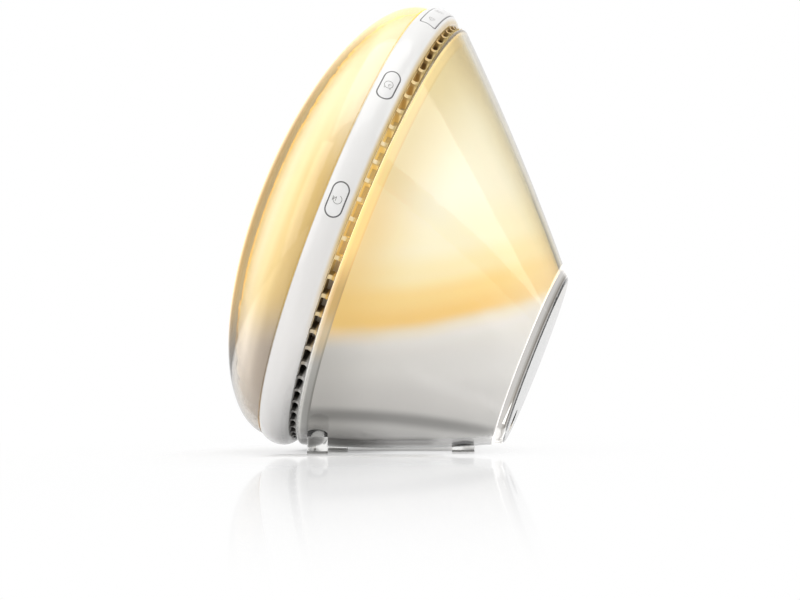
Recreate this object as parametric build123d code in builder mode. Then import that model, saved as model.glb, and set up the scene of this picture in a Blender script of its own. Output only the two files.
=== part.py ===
"""Sunrise alarm clock: a leaning white ring between a glowing front dome and a clear, cone-shaped housing."""

from build123d import *
import os
from math import asin, copysign, cos, degrees, hypot, radians, sin, sqrt, tan

os.makedirs("parts", exist_ok=True)

# ---------------------------------------------------------------- driving dimensions, mm and degrees
lean = 21.6  # the ring leans back by this angle
floor_gap = 3.1  # air under the ring

# White ring
ring_radius = 97.3  # at its front edge
ring_crown = 1.6  # how far its face bulges past the front edge
ring_crown_depth = 5.0  # where the bulge is highest, behind the front plane
ring_shoulder = 0.3  # its rear shoulder stands this far outside its front edge
ring_shoulder_depth = 10.0
ring_lip = 2.7  # the rear edge turns in by this much from the shoulder
ring_lip_depth = 12.2
ring_lip_wall = 1.8
ring_lip_height = 2.3
ring_front = 0.25
ring_wall = 2.0
ring_land_width = 9.3  # flange that carries the dome, from the wall inwards
ring_land = 0.8  # depth of the flange's front face
ring_flange = 1.6

# Front dome: clear cover over an opal diffuser
dome_inset = 0.3  # the dome's edge lies this far inside the ring's
dome_height = 37.2
cover_wall = 3.0
cover_reveal = 0.35  # shadow gap between cover and ring
cover_skirt_gap = 0.2
cover_skirt_step = 0.8
diffuser_gap = 0.6
diffuser_wall = 2.0

# Vent frame behind the ring
rib_count = 72
rib_thickness = 1.7
rib_inset = 0.7  # inside the ring's rear lip
rib_root = 0.4  # the ribs start this far outside the frame's bore
rib_hollow = 0.9  # how far the outer edge of a rib curves inwards
vent_front_depth = 10.4
vent_ring = 2.0
vent_shelf = 6.0  # the frame's front plate reaches this far inside its bore
spigot_gap = 0.3
spigot_length = 3.95

# Rear housing: an oblique cone from the rim to a small round face parallel to the ring
rim_overhang = 0.6  # the rim stands this far outside the ring's rear lip
rim_depth = 15.25
rear_radius = 37.2
rear_depth = 95.8
underside_rise = 0.566  # the cone's lowest line is this much higher at the rear face than at the rim
shell_bulge = 2.1  # the cone's sides are bowed out by this much half way
shell_wall = 3.6
rear_wall = 5.0
rim_round = 1.2
rear_round = 3.0
liner_gap = 0.4
liner_wall = 2.0

# Side buttons and top key
button_angles = {"upper": 56.3, "lower": 87.2}  # from the top of the ring
button_depth = 5.95
button_length = 14.2
button_width = 6.5
button_gap = 0.15
button_travel = 0.6
cut_margin = 3.0  # the buttons' openings are cut from this far inside the wall to this far outside it
button_ear_length = 16.6
button_ear_gap = 0.45  # air between the ears and the ring's wall
button_ear = 1.25
stem_radius = 1.5
press_margin = 0.07  # air left over the switch when a button is fully pressed
key_length = 95.4
key_width = 6.9
key_depth = 6.5  # middle of the key, behind the front plane
key_corner = 1.6
key_gap = 0.2
key_end_gap = 0.4
key_recess = 0.7  # the key's underside lies this far inside the ring's wall
key_root = 25.0  # the key's outline is drawn this far below the ring's edge, lower than the key's ends
weld = 0.5  # stems and lug reach this far into the key
key_pivot_drop = 3.1  # the pin lies this far under the key's underside
key_lug_end = 2.2  # lug below the pin's centre
key_swing = 1.2  # each way
key_stem_angle = 24.0
key_lug = 5.0
key_lug_width = 5.8
pin_radius = 1.0
pin_end = 1.0  # how far the pin reaches into the ring and into the vent frame
running_gap = 0.05
press_gap = 0.02

# Switches on small boards, one under each button and two under the key
board_thickness = 1.6
switch_board_length = 16.0
switch_board_drop = 1.25  # below the edge of the ring's flange
switch_size = 6.0
switch_height = 2.6
plunger_radius = 1.7
plunger_height = 1.4

# Chassis, lamp boards and heat sink
chassis_gap = 0.5
chassis_wall = 2.5
chassis_hole = 20.0
window_radius = 4.5
window_inset = 12.5  # the windows' circle lies this far inside the vent frame's bore
window_count = 16
window_arc = 300.0
lamp_gap = 3.0  # between a lamp board and the windows
lamp_width = 22.0
led_size = 3.0
led_height = 1.2
front_led_count = 24
rear_led_count = 11
rear_lamp_arc = 180.0
heat_sink_radius = 27.0
heat_sink_base = 2.5
fin_length = 10.0
fin_thickness = 1.4
fin_pitch = 5.2
fin_count = 9
chassis_screw_inset = 3.2  # inside the vent frame's bore
chassis_screw_count = 6
screw_radius = 1.4
screw_head_radius = 2.4
screw_head = 1.8
screw_bite = 1.5

# Display behind the dome
display_width = 64.0
display_height = 26.0
display_block = 6.8
display_gap = 3.2  # from the middle of the display's face to the diffuser
display_board_margin = 3.0
standoff_radius = 2.5
standoff_inset = 3.8
digit_height = 16.0
digit_width = 8.6
digit_pitch = 14.0
digit_shift = 5.6  # each pair of digits moves this far in towards the colon
segment_width = 1.8
segment_depth = 2.0
segment_gap = 0.1
segment_split = 0.7  # bare length between neighbouring segments
colon_radius = 1.1
colon_rise = 3.2

# Electronics bay under a sloping tray
tray_slope = 15.4
tray_clearance = 1.6  # over the speaker's flange
tray_wall = 2.0
tray_gap = 0.4
tray_boss = 12.0
tray_boss_radius = 3.0
main_board_width = 76.0
main_board_length = 36.0
main_board_back = 9.0  # behind the middle of the clock
boss_inset = 5.0
capacitor_radius = 5.0
capacitor_height = 12.0
capacitor_pitch = 12.0
coil_size = 14.0
coil_height = 9.0
chip_size = 12.0
chip_height = 1.6
parts_side = 19.0  # capacitors and coil sit this far to the sides of the board's middle

# Speaker behind slots at the foot of the chassis, heard through the vents
speaker_radius = 14.0
speaker_inset = 15.0  # its middle lies this far inside the vent frame's bore
speaker_flange = 1.2
basket_depth = 8.0
basket_neck = 7.5
basket_wall = 1.2
cone_wall = 0.8
cone_cup = 4.0
magnet_radius = 8.2
magnet_depth = 5.0
slot_width = 2.4
slot_pitch = 4.4
slot_count = 3
slot_drop = 1.4  # the slots' middle lies this far below the speaker's

# Power inlet low in the rear face
inlet_drop = 27.0  # below the middle of the rear face
inlet_port_radius = 5.0
inlet_port_gap = 0.6  # the liner's opening is this much larger than the shell's
inlet_socket_radius = 2.8
inlet_socket_depth = 8.0
inlet_pin_radius = 1.0
inlet_pin_short = 1.0
inlet_body = 13.0
inlet_body_depth = 10.0

# Feet
front_foot_radius = 4.3
rear_foot_radius = 4.8
front_foot_side = 33.0
front_foot_inset = 11.67  # behind the rim's lowest point
rear_foot_inset = 17.39  # ahead of the rear face's lowest point
foot_reach = 14.0  # long enough to meet the cone before it is trimmed to it
foot_pad = 0.8
foot_gap = 0.05

# ---------------------------------------------------------------- sizes that follow from those above
ring_shoulder_radius = ring_radius + ring_shoulder
ring_lip_radius = ring_shoulder_radius - ring_lip
ring_bore = ring_radius - ring_wall
ring_land_radius = ring_bore - ring_land_width
dome_radius = ring_radius - dome_inset
vent_bore = ring_land_radius
vent_inner = vent_bore - vent_shelf
rib_outer = ring_lip_radius - rib_inset
rib_inner = vent_bore + rib_root
rim_radius = ring_lip_radius + rim_overhang
liner_depth = rim_depth + spigot_length
underside_climb = underside_rise + sin(radians(lean)) * (rear_depth - rim_depth)
rear_drop = rim_radius - rear_radius - underside_climb / cos(radians(lean))
button_ear_top = ring_bore - button_ear_gap
key_underside = ring_bore - key_recess
key_pivot_radius = key_underside - key_pivot_drop
switch_board_radius = ring_land_radius - switch_board_drop
chassis_radius = vent_bore - chassis_gap
chassis_screw_circle = vent_bore - chassis_screw_inset
window_circle = vent_bore - window_inset
lamp_outer = window_circle - window_radius - lamp_gap
lamp_inner = lamp_outer - lamp_width
speaker_drop = vent_bore - speaker_inset

# ---------------------------------------------------------------- the leaning ring's own frame
SIDE = Vector(1, 0, 0)
UP = Vector(0, sin(radians(lean)), cos(radians(lean)))
BACK = Vector(0, cos(radians(lean)), -sin(radians(lean)))

# The clock's foremost and rearmost points, from the ring's centre, set the origin midway between them.
dome_reach = hypot(dome_height * BACK.Y, dome_radius * UP.Y)
rear_reach = rear_depth * BACK.Y + (rear_radius - rear_drop) * UP.Y
ring_height = floor_gap + ring_shoulder_radius * UP.Z - ring_shoulder_depth * BACK.Z
CENTRE = Vector(0, (dome_reach - rear_reach) / 2, ring_height)
ring_axis = Axis(CENTRE, BACK)
section = Plane(origin=CENTRE, x_dir=-UP, z_dir=SIDE)  # sketches here read (radius, depth)


def radial(angle):
    """Unit vector from the ring's axis, at an angle from its top towards +X."""
    return UP * cos(radians(angle)) + SIDE * sin(radians(angle))


def tangent(angle):
    """Unit vector along the ring's edge, at an angle from its top towards +X."""
    return SIDE * cos(radians(angle)) - UP * sin(radians(angle))


def across(depth, drop=0.0):
    """Plane parallel to the ring, facing forwards, x to +X and y up along the ring."""
    return Plane(origin=CENTRE + BACK * depth - UP * drop, x_dir=SIDE, z_dir=-BACK)


def on_edge(angle, radius, depth):
    """Plane facing outwards from the ring's edge, x along the edge and y towards the back."""
    spot = CENTRE + radial(angle) * radius + BACK * depth
    return Plane(origin=spot, x_dir=tangent(angle), z_dir=radial(angle))


def save(block, name):
    """Label a finished piece and write its file."""
    block.part.label = name
    export_step(block.part, f"parts/{name}.step")


# ---------------------------------------------------------------- white ring
def ring_face_curve():
    """The ring's visible face, from its front edge over the crown to the rear lip."""
    crown = ThreePointArc(
        (ring_radius, ring_front),
        (ring_radius + ring_crown, ring_crown_depth),
        (ring_shoulder_radius, ring_shoulder_depth),
    )
    lip = TangentArc(crown @ 1, (ring_lip_radius, ring_lip_depth), tangent=crown % 1)
    return crown, lip


flange_back = ring_land + ring_flange
skirt_radius = dome_radius - cover_skirt_step
key_room_back = ring_lip_depth - ring_lip_height

with BuildPart() as ring_form:
    with BuildSketch(section):
        with BuildLine():
            crown, lip = ring_face_curve()
            Polyline(
                lip @ 1,
                (key_underside, ring_lip_depth),
                (key_underside, ring_front),
                crown @ 0,
            )
        make_face()
    revolve(axis=ring_axis)

with BuildPart() as ring_band:
    with BuildSketch(section):
        with BuildLine():
            crown, lip = ring_face_curve()
            Polyline(
                lip @ 1,
                (ring_lip_radius - ring_lip_wall, ring_lip_depth),
                (ring_bore, key_room_back),
                (ring_bore, flange_back),
                (ring_land_radius, flange_back),
                (ring_land_radius, ring_land),
                (skirt_radius + cover_skirt_gap, ring_land),
                (skirt_radius + cover_skirt_gap, ring_front),
                crown @ 0,
            )
        make_face()
    revolve(axis=ring_axis)
    with BuildSketch(on_edge(0, ring_radius - key_root, key_depth)):
        RectangleRounded(key_length + 2 * key_end_gap, key_width + 2 * key_gap, key_corner)
    extrude(amount=2 * key_root, mode=Mode.SUBTRACT)
    button_spots = [side * angle for side in (-1, 1) for angle in button_angles.values()]
    with BuildSketch(*[on_edge(spot, ring_bore - cut_margin, button_depth) for spot in button_spots]):
        SlotOverall(button_length + 2 * button_gap, button_width + 2 * button_gap)
    extrude(amount=ring_radius + ring_crown - ring_bore + 2 * cut_margin, mode=Mode.SUBTRACT)
    with BuildSketch(across(flange_back)):
        with Locations((0, key_pivot_radius)):
            Circle(pin_radius + press_gap)
    extrude(amount=pin_end + press_gap, mode=Mode.SUBTRACT)
save(ring_band, "ring_band")

# ---------------------------------------------------------------- front dome
def quarter_ellipse(reach, height, sweep=90):
    """The dome's profile from its top outwards, about the ring's centre."""
    return EllipticalCenterArc((0, 0), reach, height, start_angle=-90, arc_size=sweep)


reveal_angle = degrees(asin(cover_reveal / dome_height))
cover_inner = dome_radius - cover_wall
with BuildPart() as front_cover:
    with BuildSketch(section):
        with BuildLine():
            outside = quarter_ellipse(dome_radius, dome_height, 90 - reveal_angle)
            inside = quarter_ellipse(cover_inner, dome_height - cover_wall)
            Line(outside @ 0, inside @ 0)
            Polyline(
                outside @ 1,
                (skirt_radius, -cover_reveal),
                (skirt_radius, ring_land),
                (cover_inner, ring_land),
                inside @ 1,
            )
        make_face()
    revolve(axis=ring_axis)
save(front_cover, "front_cover")

opal_radius = cover_inner - diffuser_gap
opal_height = dome_height - cover_wall - diffuser_gap
opal_inner_height = opal_height - diffuser_wall
with BuildPart() as front_diffuser:
    with BuildSketch(section):
        with BuildLine():
            outside = quarter_ellipse(opal_radius, opal_height)
            inside = quarter_ellipse(opal_radius - diffuser_wall, opal_inner_height)
            Line(outside @ 0, inside @ 0)
            Polyline(
                outside @ 1,
                (opal_radius, ring_land),
                (opal_radius - diffuser_wall, ring_land),
                inside @ 1,
            )
        make_face()
    revolve(axis=ring_axis)
save(front_diffuser, "front_diffuser")


# ---------------------------------------------------------------- rear housing
def cone_share(depth):
    """How far along the cone a depth lies, from 0 at the rim to 1 at the rear face."""
    return (depth - rim_depth) / (rear_depth - rim_depth)


def cone_radius(depth):
    """Outer radius of the bowed cone at a depth behind the ring's front."""
    share = cone_share(depth)
    return rim_radius + (rear_radius - rim_radius) * share + 4 * shell_bulge * share * (1 - share)


def cone_plane(depth):
    """Plane parallel to the ring, centred on the oblique cone at a depth."""
    return across(depth, rear_drop * cone_share(depth))


def cone_sections(front, back, inset):
    """Round sections of the cone at two depths and half way between them, each drawn in by an inset."""
    sections = []
    for depth in (front, (front + back) / 2, back):
        with BuildSketch(cone_plane(depth)) as round_section:
            Circle(cone_radius(depth) - inset)
        sections.append(round_section.sketch.face())
    return sections


def rear_face(rise=0.0, sideways=0.0, depth=rear_depth):
    """Plane on the small rear face, facing backwards, moved along it from its middle."""
    spot = CENTRE + BACK * depth - UP * (rear_drop - rise) + SIDE * sideways
    return Plane(origin=spot, x_dir=-SIDE, z_dir=BACK)


cavity_end = rear_depth - rear_wall
liner_inset = shell_wall + liner_gap
liner_end = cavity_end - liner_gap
inlet_seat = liner_end - liner_wall

with BuildPart() as cone_form:
    loft(cone_sections(rim_depth, rear_depth, 0))

with BuildPart() as rear_shell:
    add(cone_form.part)
    fillet(rear_shell.faces().filter_by(GeomType.PLANE).sort_by(ring_axis)[0].edges(), rim_round)
    fillet(rear_shell.faces().filter_by(GeomType.PLANE).sort_by(ring_axis)[-1].edges(), rear_round)
    loft(cone_sections(rim_depth, cavity_end, shell_wall), mode=Mode.SUBTRACT)
    with BuildSketch(rear_face(-inlet_drop)):
        Circle(inlet_port_radius)
    extrude(amount=-rear_wall, mode=Mode.SUBTRACT)
save(rear_shell, "rear_shell")

with BuildPart() as rear_liner:
    loft(cone_sections(liner_depth, liner_end, liner_inset))
    loft(cone_sections(liner_depth, liner_end - liner_wall, liner_inset + liner_wall), mode=Mode.SUBTRACT)
    with BuildSketch(rear_face(-inlet_drop, depth=liner_end)):
        Circle(inlet_port_radius + inlet_port_gap)
    extrude(amount=-liner_wall, mode=Mode.SUBTRACT)
save(rear_liner, "rear_liner")

# ---------------------------------------------------------------- vent frame
vent_plate = vent_front_depth + vent_ring
with BuildPart() as vent_frame:
    with BuildSketch(section):
        with BuildLine():
            Polyline(
                (vent_inner, vent_front_depth),
                (ring_lip_radius - ring_lip_wall - cover_skirt_gap, vent_front_depth),
                (ring_lip_radius - ring_lip_wall - cover_skirt_gap, vent_plate),
                (vent_inner, vent_plate),
                close=True,
            )
        make_face()
    revolve(axis=ring_axis)
    for depth in (rim_depth, liner_depth):
        with BuildSketch(cone_plane(depth)):
            Circle(cone_radius(depth) - shell_wall - spigot_gap)
    loft()
    with BuildSketch(across(rim_depth)):
        Circle(vent_bore)
    extrude(amount=-(liner_depth - rim_depth), mode=Mode.SUBTRACT)
    rib_planes = [
        Plane(origin=CENTRE, x_dir=radial(360 / rib_count * rib), z_dir=-tangent(360 / rib_count * rib))
        for rib in range(rib_count)
    ]
    with BuildSketch(*rib_planes):
        with BuildLine():
            edge = ThreePointArc(
                (rib_outer, vent_plate),
                (rib_outer - rib_hollow, (vent_plate + rim_depth) / 2),
                (rib_outer, rim_depth),
            )
            Polyline(edge @ 1, (rib_inner, rim_depth), (rib_inner, vent_plate), edge @ 0)
        make_face()
    extrude(amount=rib_thickness / 2, both=True)
    with BuildSketch(across(vent_front_depth)):
        with Locations((0, key_pivot_radius)):
            Circle(pin_radius + press_gap)
    extrude(amount=-(pin_end + press_gap), mode=Mode.SUBTRACT)
    with BuildSketch(across(vent_plate)):
        with PolarLocations(chassis_screw_circle, chassis_screw_count):
            Circle(screw_radius + press_gap)
    extrude(amount=screw_bite + press_gap, mode=Mode.SUBTRACT)
save(vent_frame, "vent_frame")

# ---------------------------------------------------------------- switches, side buttons and top key
switch_room = vent_front_depth - flange_back  # boards are held between the ring's flange and the vent frame
plunger_top = switch_board_radius + board_thickness + switch_height + plunger_height
ear_base = button_ear_top - button_ear


def make_switch(name, angle, depth):
    """A push switch on its small board, facing outwards at an angle on the ring."""
    with BuildPart() as switch_board:
        with BuildSketch(on_edge(angle, switch_board_radius, flange_back + switch_room / 2)):
            Rectangle(switch_board_length, switch_room)
        extrude(amount=board_thickness)
    save(switch_board, f"{name}_switch_board")
    with BuildPart() as switch:
        with BuildSketch(on_edge(angle, switch_board_radius + board_thickness, depth)):
            Rectangle(switch_size, switch_size)
        extrude(amount=switch_height)
        with BuildSketch(on_edge(angle, plunger_top - plunger_height, depth)):
            Circle(plunger_radius)
        extrude(amount=plunger_height)
    save(switch, f"{name}_switch")


def make_button(name, angle):
    """A pill-shaped button that follows the ring, with an ear at each end and a stem over its switch."""
    with BuildPart() as button:
        with BuildSketch(on_edge(angle, ear_base, button_depth)):
            SlotOverall(button_length, button_width)
        extrude(amount=ring_radius + ring_crown + cut_margin - ear_base)
        add(ring_form.part, mode=Mode.INTERSECT)
        with BuildSketch(on_edge(angle, ear_base, button_depth)):
            Rectangle(button_ear_length, button_width)
        extrude(amount=button_ear)
        stem_tip = plunger_top + button_travel + press_margin
        with BuildSketch(on_edge(angle, stem_tip, button_depth)):
            Circle(stem_radius)
        extrude(amount=ear_base - stem_tip)
    save(button, f"{name}_button")


for side_name, side in (("right", 1), ("left", -1)):
    for level, angle in button_angles.items():
        make_button(f"{level}_{side_name}", side * angle)
        make_switch(f"{level}_{side_name}", side * angle, button_depth)
    make_switch(f"key_{side_name}", side * key_stem_angle, key_depth)

key_drop = radians(key_swing) * ring_radius * sin(radians(key_stem_angle))
key_stem_tip = plunger_top + key_drop + 2 * press_margin
with BuildPart() as top_key:
    with BuildSketch(on_edge(0, ring_radius - key_root, key_depth)):
        RectangleRounded(key_length, key_width, key_corner)
    extrude(amount=2 * key_root)
    add(ring_form.part, mode=Mode.INTERSECT)
    with BuildSketch(on_edge(0, key_pivot_radius - key_lug_end, key_depth)):
        Rectangle(key_lug, key_lug_width)
    extrude(amount=key_underside + weld - key_pivot_radius + key_lug_end)
    for side in (-1, 1):
        with BuildSketch(on_edge(side * key_stem_angle, key_stem_tip, key_depth)):
            Circle(stem_radius)
        extrude(amount=key_underside + weld - key_stem_tip)
    with BuildSketch(across(key_depth)):
        with Locations((0, key_pivot_radius)):
            Circle(pin_radius + running_gap)
    extrude(amount=key_lug_width, both=True, mode=Mode.SUBTRACT)
save(top_key, "top_key")

with BuildPart() as key_pin:
    with BuildSketch(across(flange_back - pin_end)):
        with Locations((0, key_pivot_radius)):
            Circle(pin_radius)
    extrude(amount=-(switch_room + 2 * pin_end))
save(key_pin, "key_pin")

# ---------------------------------------------------------------- chassis, lamps and heat sink
chassis_back = vent_plate + chassis_wall
slot_length = 2 * (speaker_radius - slot_width - 2 * speaker_flange)
with BuildPart() as chassis:
    with BuildSketch(across(vent_plate)):
        Circle(chassis_radius)
        Circle(chassis_hole, mode=Mode.SUBTRACT)
        with PolarLocations(window_circle, window_count, 90 - window_arc / 2, window_arc, endpoint=True):
            Circle(window_radius, mode=Mode.SUBTRACT)
        with Locations((0, -speaker_drop - slot_drop)):
            with GridLocations(0, slot_pitch, 1, slot_count):
                SlotOverall(slot_length, slot_width, mode=Mode.SUBTRACT)
        with PolarLocations(chassis_screw_circle, chassis_screw_count):
            Circle(screw_radius + press_gap, mode=Mode.SUBTRACT)
    extrude(amount=-chassis_wall)
save(chassis, "chassis")

with BuildPart() as chassis_screws:
    with BuildSketch(across(chassis_back)):
        with PolarLocations(chassis_screw_circle, chassis_screw_count):
            Circle(screw_head_radius)
    extrude(amount=-screw_head)
    with BuildSketch(across(chassis_back)):
        with PolarLocations(chassis_screw_circle, chassis_screw_count):
            Circle(screw_radius)
    extrude(amount=chassis_wall + screw_bite)
save(chassis_screws, "chassis_screws")

lamp_circle = (lamp_inner + lamp_outer) / 2
with BuildPart() as front_lamp_board:
    with BuildSketch(across(vent_plate)):
        Circle(lamp_outer)
        Circle(lamp_inner, mode=Mode.SUBTRACT)
    extrude(amount=board_thickness)
save(front_lamp_board, "front_lamp_board")

with BuildPart() as front_leds:
    with BuildSketch(across(vent_plate - board_thickness)):
        with PolarLocations(lamp_circle, front_led_count):
            Rectangle(led_size, led_size)
    extrude(amount=led_height)
save(front_leds, "front_leds")

with BuildPart() as rear_lamp_board:
    with BuildSketch(across(chassis_back)):
        Circle(lamp_outer)
        Circle(lamp_inner, mode=Mode.SUBTRACT)
        Rectangle(2 * lamp_outer, lamp_outer, align=(Align.CENTER, Align.MIN), mode=Mode.INTERSECT)
    extrude(amount=-board_thickness)
save(rear_lamp_board, "rear_lamp_board")

led_step = rear_lamp_arc / rear_led_count
rear_led_spots = PolarLocations(lamp_circle, rear_led_count, led_step / 2, rear_lamp_arc)
with BuildPart() as rear_leds:
    with BuildSketch(across(chassis_back + board_thickness)):
        with rear_led_spots:
            Rectangle(led_size, led_size)
    extrude(amount=-led_height)
save(rear_leds, "rear_leds")

with BuildPart() as heat_sink:
    with BuildSketch(across(chassis_back)):
        Circle(heat_sink_radius)
    extrude(amount=-heat_sink_base)
    with BuildSketch(across(chassis_back + heat_sink_base)):
        for fin in range(fin_count):
            fin_x = (fin - (fin_count - 1) / 2) * fin_pitch
            with Locations((fin_x, 0)):
                Rectangle(fin_thickness, 2 * sqrt((heat_sink_radius - fin_thickness) ** 2 - fin_x**2))
    extrude(amount=-fin_length)
save(heat_sink, "heat_sink")

# ---------------------------------------------------------------- display behind the dome
display_front = opal_inner_height - display_gap
display_back = display_front - display_block
board_x = display_width + 2 * display_board_margin
board_y = display_height + 2 * display_board_margin


def segment_field(grow):
    """Four seven-segment digits and a colon on the display's face, each bar widened by a gap."""
    half_wide = segment_width / 2 + grow
    flat = digit_width / 2
    tall = digit_height / 4
    bars = [(0, 2 * level * tall, flat, 0) for level in (-1, 0, 1)]
    for side in (-1, 1):
        bars += [(side * flat, level * tall, tall, 90) for level in (-1, 1)]
    with BuildSketch(across(-display_front)) as field:
        for place in (-2, -1, 1, 2):
            middle = place * digit_pitch - copysign(digit_shift, place)
            for bar_x, bar_y, half_long, turn in bars:
                tip = half_long - segment_split / 2 + grow
                end = tip - half_wide
                outline = [(-tip, 0), (-end, half_wide), (end, half_wide), (tip, 0), (end, -half_wide)]
                with Locations((middle + bar_x, bar_y)):
                    Polygon(*outline, (-end, -half_wide), rotation=turn)
        with Locations((0, -colon_rise), (0, colon_rise)):
            Circle(colon_radius + grow)
    return field.sketch


with BuildPart() as display_housing:
    with BuildSketch(across(-display_back)):
        Rectangle(display_width, display_height)
    extrude(amount=display_block)
    extrude(segment_field(segment_gap), amount=-segment_depth, mode=Mode.SUBTRACT)
save(display_housing, "display_housing")

with BuildPart() as display_digits:
    extrude(segment_field(0), amount=-segment_depth)
save(display_digits, "display_digits")

with BuildPart() as display_board:
    with BuildSketch(across(-display_back)):
        Rectangle(board_x, board_y)
    extrude(amount=-board_thickness)
save(display_board, "display_board")

with BuildPart() as display_standoffs:
    with BuildSketch(across(board_thickness - display_back)):
        with GridLocations(board_x - 2 * standoff_inset, board_y - 2 * standoff_inset, 2, 2):
            Circle(standoff_radius)
    extrude(amount=-(vent_plate - board_thickness + display_back))
save(display_standoffs, "display_standoffs")

# ---------------------------------------------------------------- electronics bay
slope = radians(tray_slope)
speaker_top = across(chassis_back + speaker_flange, speaker_drop - speaker_radius).origin
tray_height = speaker_top.Z - speaker_top.Y * tan(slope) + (tray_wall + tray_clearance) / cos(slope)
tray_plane = Plane(origin=(0, 0, tray_height), x_dir=SIDE, z_dir=(0, -sin(slope), cos(slope)))
tray_underside = tray_plane.offset(-tray_wall)
board_seat = Plane(
    origin=tray_underside.origin + tray_plane.y_dir * main_board_back - tray_plane.z_dir * tray_boss,
    x_dir=SIDE,
    z_dir=tray_plane.z_dir,
)
board_underside = board_seat.offset(-board_thickness)
boss_hole = screw_radius + press_gap


def board_corners():
    """The main board's four fixing points, from its middle."""
    return GridLocations(main_board_width - 2 * boss_inset, main_board_length - 2 * boss_inset, 2, 2)


with BuildPart() as light_tray:
    with BuildSketch(tray_plane):
        Rectangle(2 * rim_radius, 2 * rim_radius)
    extrude(amount=-tray_wall)
    loft(
        cone_sections(chassis_back, liner_end - liner_wall, liner_inset + liner_wall + tray_gap),
        mode=Mode.INTERSECT,
    )
    with BuildSketch(across(chassis_back)):
        Circle(vent_bore - tray_gap)
    extrude(amount=-(liner_end - chassis_back), mode=Mode.INTERSECT)
    with BuildSketch(board_seat):
        with board_corners():
            Circle(tray_boss_radius)
            Circle(boss_hole, mode=Mode.SUBTRACT)
    extrude(amount=tray_boss)
save(light_tray, "light_tray")

with BuildPart() as main_board:
    with BuildSketch(board_seat):
        Rectangle(main_board_width, main_board_length)
        with board_corners():
            Circle(boss_hole, mode=Mode.SUBTRACT)
    extrude(amount=-board_thickness)
save(main_board, "main_board")

with BuildPart() as board_screws:
    with BuildSketch(board_underside):
        with board_corners():
            Circle(screw_head_radius)
    extrude(amount=-screw_head)
    with BuildSketch(board_underside):
        with board_corners():
            Circle(screw_radius)
    extrude(amount=board_thickness + 2 * screw_bite)
save(board_screws, "board_screws")

with BuildPart() as board_parts:
    with BuildSketch(board_underside):
        with Locations((-parts_side, 0)):
            with GridLocations(0, capacitor_pitch, 1, 2):
                Circle(capacitor_radius)
    extrude(amount=-capacitor_height)
    with BuildSketch(board_underside):
        with Locations((parts_side, 0)):
            Rectangle(coil_size, coil_size)
    extrude(amount=-coil_height)
    with BuildSketch(board_underside):
        Rectangle(chip_size, chip_size)
    extrude(amount=-chip_height)
save(board_parts, "board_parts")

# ---------------------------------------------------------------- speaker
speaker_spot = across(chassis_back, speaker_drop).origin
speaker_axis = Axis(speaker_spot, BACK)
speaker_section = Plane(origin=speaker_spot, x_dir=UP, z_dir=-SIDE)  # sketches here read (radius, backwards)
flange_inner = speaker_radius - 2 * speaker_flange

with BuildPart() as speaker_frame:
    with BuildSketch(speaker_section):
        with BuildLine():
            Polyline(
                (flange_inner, 0),
                (speaker_radius, 0),
                (speaker_radius, speaker_flange),
                (flange_inner + basket_wall, speaker_flange),
                (basket_neck + basket_wall, basket_depth),
                (basket_neck, basket_depth),
                (flange_inner, speaker_flange),
                close=True,
            )
        make_face()
    revolve(axis=speaker_axis)
save(speaker_frame, "speaker_frame")

with BuildPart() as speaker_cone:
    with BuildSketch(speaker_section):
        with BuildLine():
            Polyline(
                (flange_inner - running_gap, speaker_flange - cone_wall),
                (flange_inner - running_gap, speaker_flange - cone_wall / 2),
                (cone_cup, basket_depth - 2 * cone_wall),
                (0, basket_depth - 2 * cone_wall),
                (0, basket_depth - 3 * cone_wall),
                (cone_cup - cone_wall, basket_depth - 3 * cone_wall),
                close=True,
            )
        make_face()
    revolve(axis=speaker_axis)
save(speaker_cone, "speaker_cone")

with BuildPart() as speaker_magnet:
    with BuildSketch(across(chassis_back + basket_depth, speaker_drop)):
        Circle(magnet_radius)
    extrude(amount=-magnet_depth)
save(speaker_magnet, "speaker_magnet")

# ---------------------------------------------------------------- power inlet
with BuildPart() as dc_inlet:
    with BuildSketch(rear_face(-inlet_drop, depth=inlet_seat)):
        Rectangle(inlet_body, inlet_body)
    extrude(amount=-inlet_body_depth)
    with BuildSketch(rear_face(-inlet_drop, depth=inlet_seat)):
        Circle(inlet_socket_radius)
    extrude(amount=-inlet_socket_depth, mode=Mode.SUBTRACT)
    with BuildSketch(rear_face(-inlet_drop, depth=inlet_seat - inlet_socket_depth)):
        Circle(inlet_pin_radius)
    extrude(amount=inlet_socket_depth - inlet_pin_short)
save(dc_inlet, "dc_inlet")

# ---------------------------------------------------------------- feet
front_foot_back = (cone_plane(rim_depth).origin - UP * rim_radius).Y + front_foot_inset
rear_foot_back = (cone_plane(rear_depth).origin - UP * rear_radius).Y - rear_foot_inset
foot_spots = {
    "front_right": (front_foot_side, front_foot_back, front_foot_radius),
    "front_left": (-front_foot_side, front_foot_back, front_foot_radius),
    "rear": (0, rear_foot_back, rear_foot_radius),
}
for spot, (foot_x, foot_y, foot_radius) in foot_spots.items():
    with BuildPart() as foot:
        with BuildSketch(Plane.XY.offset(foot_pad)):
            with Locations((foot_x, foot_y)):
                Circle(foot_radius)
        extrude(amount=foot_reach)
        with Locations((0, 0, -foot_gap)):
            add(cone_form.part, mode=Mode.SUBTRACT)
    save(foot, f"{spot}_foot")
    with BuildPart() as pad:
        with BuildSketch(Plane.XY):
            with Locations((foot_x, foot_y)):
                Circle(foot_radius)
        extrude(amount=foot_pad)
    save(pad, f"{spot}_foot_pad")
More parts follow.
